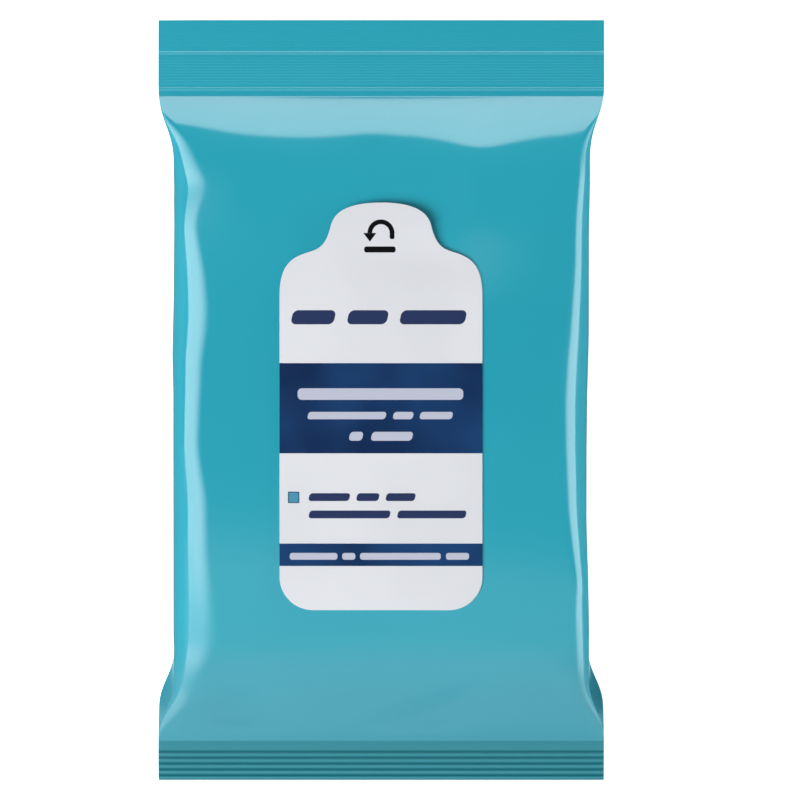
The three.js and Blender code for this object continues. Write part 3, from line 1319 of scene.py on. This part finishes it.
@dataclass(frozen=True)
class FilmFinish:
    """Glossy printed laminate: clear over teal ink, duller where it is pressed and in a band above the
    foot's crimp, with painted shade towards the foot, painted shade and sheen in that band, and painted
    shade on the foot's crimp and in its grooves.
    """

    teal: Colour = (0.015, 0.368, 0.486)
    light_teal: Colour = (0.019, 0.386, 0.504)
    # painted shade: the film is made darker towards the foot
    foot_shade_teal: Colour = (0.025, 0.348, 0.447)
    # painted shade and painted sheen: darker and greyer in a band above the foot's crimp
    foot_shade_and_sheen_teal: Colour = (0.058, 0.335, 0.428)
    crimp_teal: Colour = (0.020, 0.376, 0.493)
    # painted shade with a little painted sheen: the foot's crimp darker and greyer
    shaded_foot_crimp_teal: Colour = (0.040, 0.265, 0.330)
    # painted shade in the bottoms of the foot's grooves
    groove_shade_teal: Colour = (0.001, 0.150, 0.190)
    low: Pair = (26.0, 4.0)  # from the foot's crimp: where the painted shade towards the foot begins, and is full
    shade_and_dull_run: Pair = (20.0, 6.0)  # the same for a band of painted shade and sheen, which is also less glossy
    crimp_edge: Pair = (0.3, -0.2)  # in from a crimp's root: where its finish begins, and is full
    groove_edge: Pair = (0.44, 0.12)  # the same from the middle of a groove
    above_grooves: Pair = (0.5, 0.4)  # and from the last of them
    ink_reflection: float = 0.15  # specular level of the printed layer under the clear one
    roughness: float = 0.34
    crimp_roughness: float = 0.42
    scuffing: float = 0.08
    gloss_roughness: float = 0.1
    gloss_ior: float = 1.9
    head_gloss: float = 0.8
    foot_dulling: float = 0.65
    crease_dulling: float = 0.6
    clouds: float = 22.0  # to a metre
    grains: float = 1400.0
    grain_depth: float = 0.00003  # metres
    grain_strength: float = 0.6

    def material(self, form: PouchForm, groups: SharedGroups) -> bpy.types.Material:
        """Makes the film's material, with its crimps placed by the pouch's form.

        Args:
            form: The pouch's form.
            groups: The shared node groups.

        Returns:
            The material.
        """
        material, sketch, shader = new_material("teal_film")
        look = Variation(sketch, groups.variation, self.clouds, self.grains)
        head = sketch.fade(look.y, *(form.head_line - inset for inset in self.crimp_edge))
        foot = sketch.fade(look.y, *(form.foot_line + inset for inset in self.crimp_edge))
        low = sketch.fade(look.y, *(form.foot_line + inset for inset in self.low))
        # a band above the foot's crimp: painted shade and sheen in the colour, and less gloss
        shade_and_dull_band = sketch.fade(look.y, *(form.foot_line + inset for inset in self.shade_and_dull_run))
        groove_shade = self.groove_shade_mask(sketch, look.y, form)
        colour = sketch.blend(look.cloud, self.teal, self.light_teal)
        # all layers but the head's crimp teal are painted shade, and the band above the foot also paints
        # sheen
        layers = [
            (low, self.foot_shade_teal),
            (shade_and_dull_band, self.foot_shade_and_sheen_teal),
            (head, self.crimp_teal),
            (foot, self.shaded_foot_crimp_teal),
            (groove_shade, self.groove_shade_teal),
        ]
        for mask, teal in layers:
            colour = sketch.blend(mask, colour, teal)
        sketch.feed(shader.inputs["Base Color"], colour)
        crimps = sketch.math("MAXIMUM", head, foot)
        handled = sketch.math("MULTIPLY_ADD", look.scuff, self.scuffing, self.roughness)
        pressed = sketch.math("MULTIPLY", crimps, self.crimp_roughness - self.roughness)
        sketch.feed(shader.inputs["Roughness"], sketch.math("ADD", handled, pressed))
        sketch.feed(shader.inputs["Normal"], sketch.bump(look.grain, self.grain_depth, self.grain_strength))
        foot_dull = sketch.math("MULTIPLY", foot, self.foot_dulling)
        dull = sketch.math("MAXIMUM", sketch.math("MULTIPLY", shade_and_dull_band, self.crease_dulling), foot_dull)
        gloss = sketch.math("SUBTRACT", sketch.spread(head, 1.0, self.head_gloss), dull)
        sketch.feed(shader.inputs["Coat Weight"], gloss)
        shader.inputs["Coat Roughness"].default_value = self.gloss_roughness
        shader.inputs["Coat IOR"].default_value = self.gloss_ior
        shader.inputs["Specular IOR Level"].default_value = self.ink_reflection
        return material

    def groove_shade_mask(self, sketch: Sketch, y: Socket, form: PouchForm) -> Socket:
        """Masks the painted shade in the bottoms of the foot's grooves, by the distance to the nearest line
        of a row.

        Args:
            sketch: The material's sketch.
            y: The point's place along the pack.
            form: The pouch's form.

        Returns:
            1 in the bottoms and 0 elsewhere.
        """
        first = FootGrooves.first - form.half_length
        last = first + (FootGrooves.count - 1) * FootGrooves.pitch
        turns = sketch.math("DIVIDE", sketch.math("SUBTRACT", y, first), FootGrooves.pitch)
        miss = sketch.math("ABSOLUTE", sketch.math("SUBTRACT", turns, sketch.math("ROUND", turns)))
        line = sketch.fade(sketch.math("MULTIPLY", miss, FootGrooves.pitch), *self.groove_edge)
        below = sketch.fade(y, *(last + margin for margin in self.above_grooves))
        return sketch.math("MULTIPLY", line, below)


@dataclass(frozen=True)
class LabelFinish:
    """Satin white label stock with its print."""

    white: Colour = (0.735, 0.750, 0.785)
    shade: Colour = (0.700, 0.715, 0.755)
    deep_navy: Colour = (0.004, 0.020, 0.075)
    bright_navy: Colour = (0.009, 0.050, 0.160)
    roughness: float = 0.42
    scuffing: float = 0.1
    reflection: float = 0.12
    clouds: float = 46.0  # to a metre
    grains: float = 2600.0
    grain_depth: float = 0.00002  # metres
    grain_strength: float = 0.5
    softness: float = 0.06  # millimetres over which an ink's edge fades
    print: LabelPrint = LabelPrint()

    def material(self, label: ResealLabel, groups: SharedGroups) -> bpy.types.Material:
        """Makes the label's material, with the print placed from the tab's tip.

        Args:
            label: The label, for where its tip is.
            groups: The shared node groups.

        Returns:
            The material.
        """
        material, sketch, shader = new_material("printed_label")
        look = Variation(sketch, groups.variation, self.clouds, self.grains)
        down = sketch.math("SUBTRACT", label.top, look.y)
        face = sketch.node("ShaderNodeAttribute", attribute_name="printed_face").outputs["Fac"]
        navy = sketch.blend(look.cloud, self.deep_navy, self.bright_navy)
        colour = sketch.blend(look.cloud, self.white, self.shade)
        colour = sketch.blend(sketch.math("MULTIPLY", face, self.bands(sketch, down)), colour, navy)
        for ink, mask in self.ink_masks(sketch, groups.bar, (look.x, down)).items():
            colour = sketch.blend(sketch.math("MULTIPLY", face, mask), colour, ink.value)
        sketch.feed(shader.inputs["Base Color"], colour)
        roughness = sketch.math("MULTIPLY_ADD", look.scuff, self.scuffing, self.roughness)
        sketch.feed(shader.inputs["Roughness"], roughness)
        sketch.feed(shader.inputs["Normal"], sketch.bump(look.grain, self.grain_depth, self.grain_strength))
        shader.inputs["Specular IOR Level"].default_value = self.reflection
        return material

    def inked(self, sketch: Sketch, value: Socket, inner: float, outer: float) -> Socket:
        """1 from inner on and 0 beyond outer, which are a line's two sides, softened at outer."""
        reach = math.copysign(self.softness / 2, outer - inner)
        return sketch.fade(value, outer + reach, outer - reach)

    def bands(self, sketch: Sketch, down: Socket) -> Socket:
        """Masks the two navy bands, which run right across the label.

        Args:
            sketch: The material's sketch.
            down: The point's distance from the tip.

        Returns:
            1 in the bands and 0 elsewhere.
        """
        masks = []
        for top, bottom in (self.print.wide_band, self.print.narrow_band):
            below, above = self.inked(sketch, down, bottom, top), self.inked(sketch, down, top, bottom)
            masks.append(sketch.math("MULTIPLY", below, above))
        return sketch.largest(masks)

    def ink_masks(self, sketch: Sketch, group: Tree, place: tuple[Socket, Socket]) -> dict[Ink, Socket]:
        """Masks each ink: its word bars, the square and the arrow.

        Args:
            sketch: The material's sketch.
            group: The group made by rounded_bar.
            place: The point's place across and down the label.

        Returns:
            A mask for each ink, in the order that they are printed.
        """
        bars: dict[Ink, list[Bar]] = {}
        for line in self.print.lines:
            bars.setdefault(line.ink, []).extend(line.bars())
        side, corner = self.print.square_half, self.print.square_corner
        for ink, half in ((Ink.BLUE_RIM, side), (Ink.BLUE, side - self.print.square_rim)):
            bars[ink] = [Bar(self.print.square, (half, half), corner=corner)]
        bars[Ink.BLACK].append(self.print.arrow_leg)
        masks = {
            ink: [bar.mask(sketch, group, place, self.softness) for bar in shapes]
            for ink, shapes in bars.items()
        }
        masks[Ink.BLACK] += self.arrow(sketch, *place)
        return {ink: sketch.largest(shapes) for ink, shapes in masks.items()}

    def arrow(self, sketch: Sketch, x: Socket, down: Socket) -> list[Socket]:
        """Masks the peel arrow's bend, which is half a ring, and its head, which is a triangle.

        Args:
            sketch: The material's sketch.
            x: The point's place across the label.
            down: The point's distance from the tip.

        Returns:
            The two masks.
        """
        centre, radius = self.print.arrow_centre, self.print.arrow_radius
        below = sketch.math("SUBTRACT", down, centre)
        squares = [sketch.math("POWER", side, 2.0) for side in (x, below)]
        away = sketch.math("SQRT", sketch.math("ADD", *squares))
        off_line = sketch.math("ABSOLUTE", sketch.math("SUBTRACT", away, radius))
        ring = self.inked(sketch, off_line, 0.0, self.print.arrow_stroke / 2)
        ring = sketch.math("MULTIPLY", ring, sketch.math("LESS_THAN", below, 0.0))
        wide = sketch.math("ABSOLUTE", sketch.math("ADD", x, radius))
        above_tip = sketch.math("SUBTRACT", centre + self.print.arrow_tip, down)
        room = sketch.math("MULTIPLY", above_tip, self.print.arrow_taper)
        head = self.inked(sketch, sketch.math("SUBTRACT", room, wide), 1.0, 0.0)
        head = sketch.math("MULTIPLY", head, self.inked(sketch, below, 1.0, 0.0))
        return [ring, head]


# ---- studio ----


class Role(Enum):
    """What a light is for: to be mirrored in glossy surfaces, or to light matt ones."""

    MIRRORED = "mirrored"
    FILL = "fill"


@dataclass(frozen=True)
class Softbox:
    """A flat rectangular light aimed at the pack, by where it stands in degrees as seen from it.

    Azimuth 0 is towards +X and 90 towards +Y. radiance is the brightness of its face. The fades
    are the shares of its width and height over which it dims at its edges, as the pack sees them.
    """

    name: str
    role: Role
    azimuth: float
    low: float
    high: float
    span: float
    radiance: float
    fade_top: float = 0.1
    fade_left: float = 0.05
    fade_right: float = 0.05
    distance: float = 0.9

    def build(self, target: Vector) -> None:
        """Adds the light.

        Args:
            target: What it faces.
        """
        middle = math.radians((self.low + self.high) / 2)
        turn = math.radians(self.azimuth)
        flat = math.cos(middle)
        away = Vector((math.cos(turn) * flat, math.sin(turn) * flat, math.sin(middle)))
        light = bpy.data.lights.new(self.name, "AREA")
        light.shape = "RECTANGLE"
        light.size = 2 * self.distance * math.tan(math.radians(self.span / 2))
        light.size_y = 2 * self.distance * math.tan(math.radians((self.high - self.low) / 2))
        light.energy = self.radiance * math.pi * light.size * light.size_y
        self.dim_edges(light)
        lamp = bpy.data.objects.new(self.name, light)
        lamp.location = target + away * self.distance
        lamp.rotation_mode = "QUATERNION"
        lamp.rotation_quaternion = (-away).to_track_quat("-Z", "Y")
        lamp.visible_camera = False
        lamp.visible_diffuse = self.role is Role.FILL
        lamp.visible_glossy = self.role is Role.MIRRORED
        bpy.context.scene.collection.objects.link(lamp)

    def dim_edges(self, light: bpy.types.AreaLight) -> None:
        """Fades the light's face towards its top, left and right edges.

        Args:
            light: The light.
        """
        light.use_nodes = True
        sketch = Sketch(light.node_tree)
        place = sketch.split(sketch.node("ShaderNodeNewGeometry").outputs["Parametric"])
        left = sketch.fade(place["X"], 0.0, self.fade_left)
        right = sketch.fade(place["X"], 1.0, 1.0 - self.fade_right)
        top = sketch.fade(place["Y"], 1.0, 1.0 - self.fade_top)
        glow = sketch.node("ShaderNodeEmission")
        strength = sketch.math("MULTIPLY", sketch.math("MULTIPLY", left, right), top)
        sketch.feed(glow.inputs["Strength"], strength)
        sketch.feed(sketch.node("ShaderNodeOutputLight").inputs["Surface"], glow.outputs[0])


@dataclass(frozen=True)
class Floor:
    """A plain near-white floor that glows a little, so that it stays pale under the pack.

    Glossy surfaces mirror it as dim where they look down on it, and as dark further off.
    """

    reach: float = 6.0  # metres
    below: float = 0.0001  # metres under the pack
    grey: float = 0.92
    glow: float = 0.85
    dim: float = 0.2
    dark: float = 0.06
    slopes: Pair = (0.08, 0.3)  # facing at which it is mirrored as dim, and as dark
    roughness: float = 0.9
    reflection: float = 0.1

    def build(self) -> None:
        """Adds the floor and stages it."""
        mesh = bpy.data.meshes.new("floor")
        reach = self.reach
        corners = [(-reach, -reach), (reach, -reach), (reach, reach), (-reach, reach)]
        mesh.from_pydata([(x, y, -self.below) for x, y in corners], [], [(0, 1, 2, 3)])
        floor = bpy.data.objects.new("floor", mesh)
        bpy.context.scene.collection.objects.link(floor)
        mesh.materials.append(self.material())

    def material(self) -> bpy.types.Material:
        """Makes the floor's material.

        Returns:
            The material.
        """
        material, sketch, shader = new_material("pale_floor")
        facing = sketch.node("ShaderNodeLayerWeight").outputs["Facing"]
        glossy = sketch.node("ShaderNodeLightPath").outputs["Is Glossy Ray"]
        dim, dark, grey = (self.dim,) * 3, (self.dark,) * 3, (self.grey,) * 3
        mirrored = sketch.blend(sketch.fade(facing, *self.slopes), dim, dark)
        sketch.feed(shader.inputs["Base Color"], sketch.blend(glossy, grey, mirrored))
        sketch.feed(shader.inputs["Emission Color"], sketch.blend(glossy, (1.0,) * 3, (0.0,) * 3))
        shader.inputs["Emission Strength"].default_value = self.glow
        shader.inputs["Roughness"].default_value = self.roughness
        shader.inputs["Specular IOR Level"].default_value = self.reflection
        return material


@dataclass(frozen=True)
class Studio:
    """A pale floor, softboxes round the pack, a soft surround and the camera overhead."""

    stand: Floor = Floor()
    lens: float = 300.0
    sensor: float = 36.0
    seen_at: float = 7.2  # height of the crimps
    view_width: float = 152.6  # millimetres seen at that height
    aim: Pair = (3.6, 0.0)  # the point that the camera is over
    dome: float = 0.12  # brightness of the surround for matt surfaces
    mirrored: float = 0.055  # the least of it that glossy ones mirror
    # how far footward each further share of it starts and is full, and how bright that share is
    footward: tuple[tuple[float, float, float], ...] = (
        (-0.02, 0.18, 0.35), (0.36, 0.6, 0.2), (0.76, 0.92, -0.3),
    )
    middle: tuple[float, float, float] = (0.0, 0.0, 0.01)  # what the lights face, in metres
    boxes: tuple[Softbox, ...] = (
        Softbox("head_box", Role.MIRRORED, 90.0, 2.0, 34.0, 84.0, 2.1, fade_top=0.12),
        Softbox("left_box", Role.MIRRORED, 176.0, 13.0, 79.0, 76.0, 2.6, 0.5, 0.5, 0.52),
        Softbox("right_box", Role.MIRRORED, 2.0, 9.0, 52.0, 76.0, 2.45, 0.42, 0.42, 0.4),
        Softbox("key", Role.FILL, 203.0, 32.0, 74.0, 24.0, 10.0),
        Softbox("right_fill", Role.FILL, 5.0, 1.0, 14.0, 50.0, 8.6),
        Softbox("head_fill", Role.FILL, 85.0, 1.0, 12.0, 50.0, 8.0),
    )

    def build(self) -> None:
        """Adds everything that isn't the pack."""
        self.stand.build()
        self.surround()
        self.camera()
        for box in self.boxes:
            box.build(Vector(self.middle))
            LOG.info("%s placed", box.name)

    def surround(self) -> None:
        """Adds a surround that is even for matt surfaces and white to the camera.

        Glossy surfaces mirror it as dim, and brighter towards the foot but for its horizon.
        """
        world = bpy.data.worlds.new("studio")
        bpy.context.scene.world = world
        world.use_nodes = True
        world.cycles.sampling_method = "NONE"
        sketch = Sketch(world.node_tree)
        direction = sketch.split(sketch.node("ShaderNodeTexCoord").outputs["Generated"])
        footward = sketch.math("MULTIPLY", direction["Y"], -1.0)
        mirrored = self.mirrored
        for start, full, strength in self.footward:
            share = sketch.fade(footward, start, full)
            mirrored = sketch.math("MULTIPLY_ADD", share, strength, mirrored)
        path = sketch.node("ShaderNodeLightPath").outputs
        even = sketch.math("MULTIPLY", path["Is Diffuse Ray"], self.dome)
        background = sketch.node("ShaderNodeBackground")
        brightness = sketch.largest([mirrored, even, path["Is Camera Ray"]])
        sketch.feed(background.inputs["Strength"], brightness)
        background.inputs["Color"].default_value = (1.0, 1.0, 1.0, 1.0)
        leave = sketch.node("ShaderNodeOutputWorld")
        sketch.feed(leave.inputs["Surface"], background.outputs[0])

    def camera(self) -> None:
        """Adds a long lens straight above the pack, with the head at the top of the picture."""
        data = bpy.data.cameras.new("camera")
        data.lens, data.sensor_width = self.lens, self.sensor
        height = self.lens / self.sensor * self.view_width + self.seen_at
        camera = bpy.data.objects.new("camera", data)
        camera.location = Vector((*self.aim, height)) * MM
        bpy.context.scene.collection.objects.link(camera)
        bpy.context.scene.camera = camera
        bpy.context.scene.view_settings.view_transform = "Standard"


# ---- the scene ----


def main() -> None:
    """Builds the pack and the studio round it."""
    logging.basicConfig(level=logging.INFO, format="%(message)s")
    groups = SharedGroups(surface_variation(), rounded_bar())
    form = PouchForm.from_frame()
    FilmWrapper(form).build(FilmFinish(), groups)
    ResealLabel.from_frame(form).build(LabelFinish(), groups)
    Studio().build()


if __name__ == "__main__":
    main()
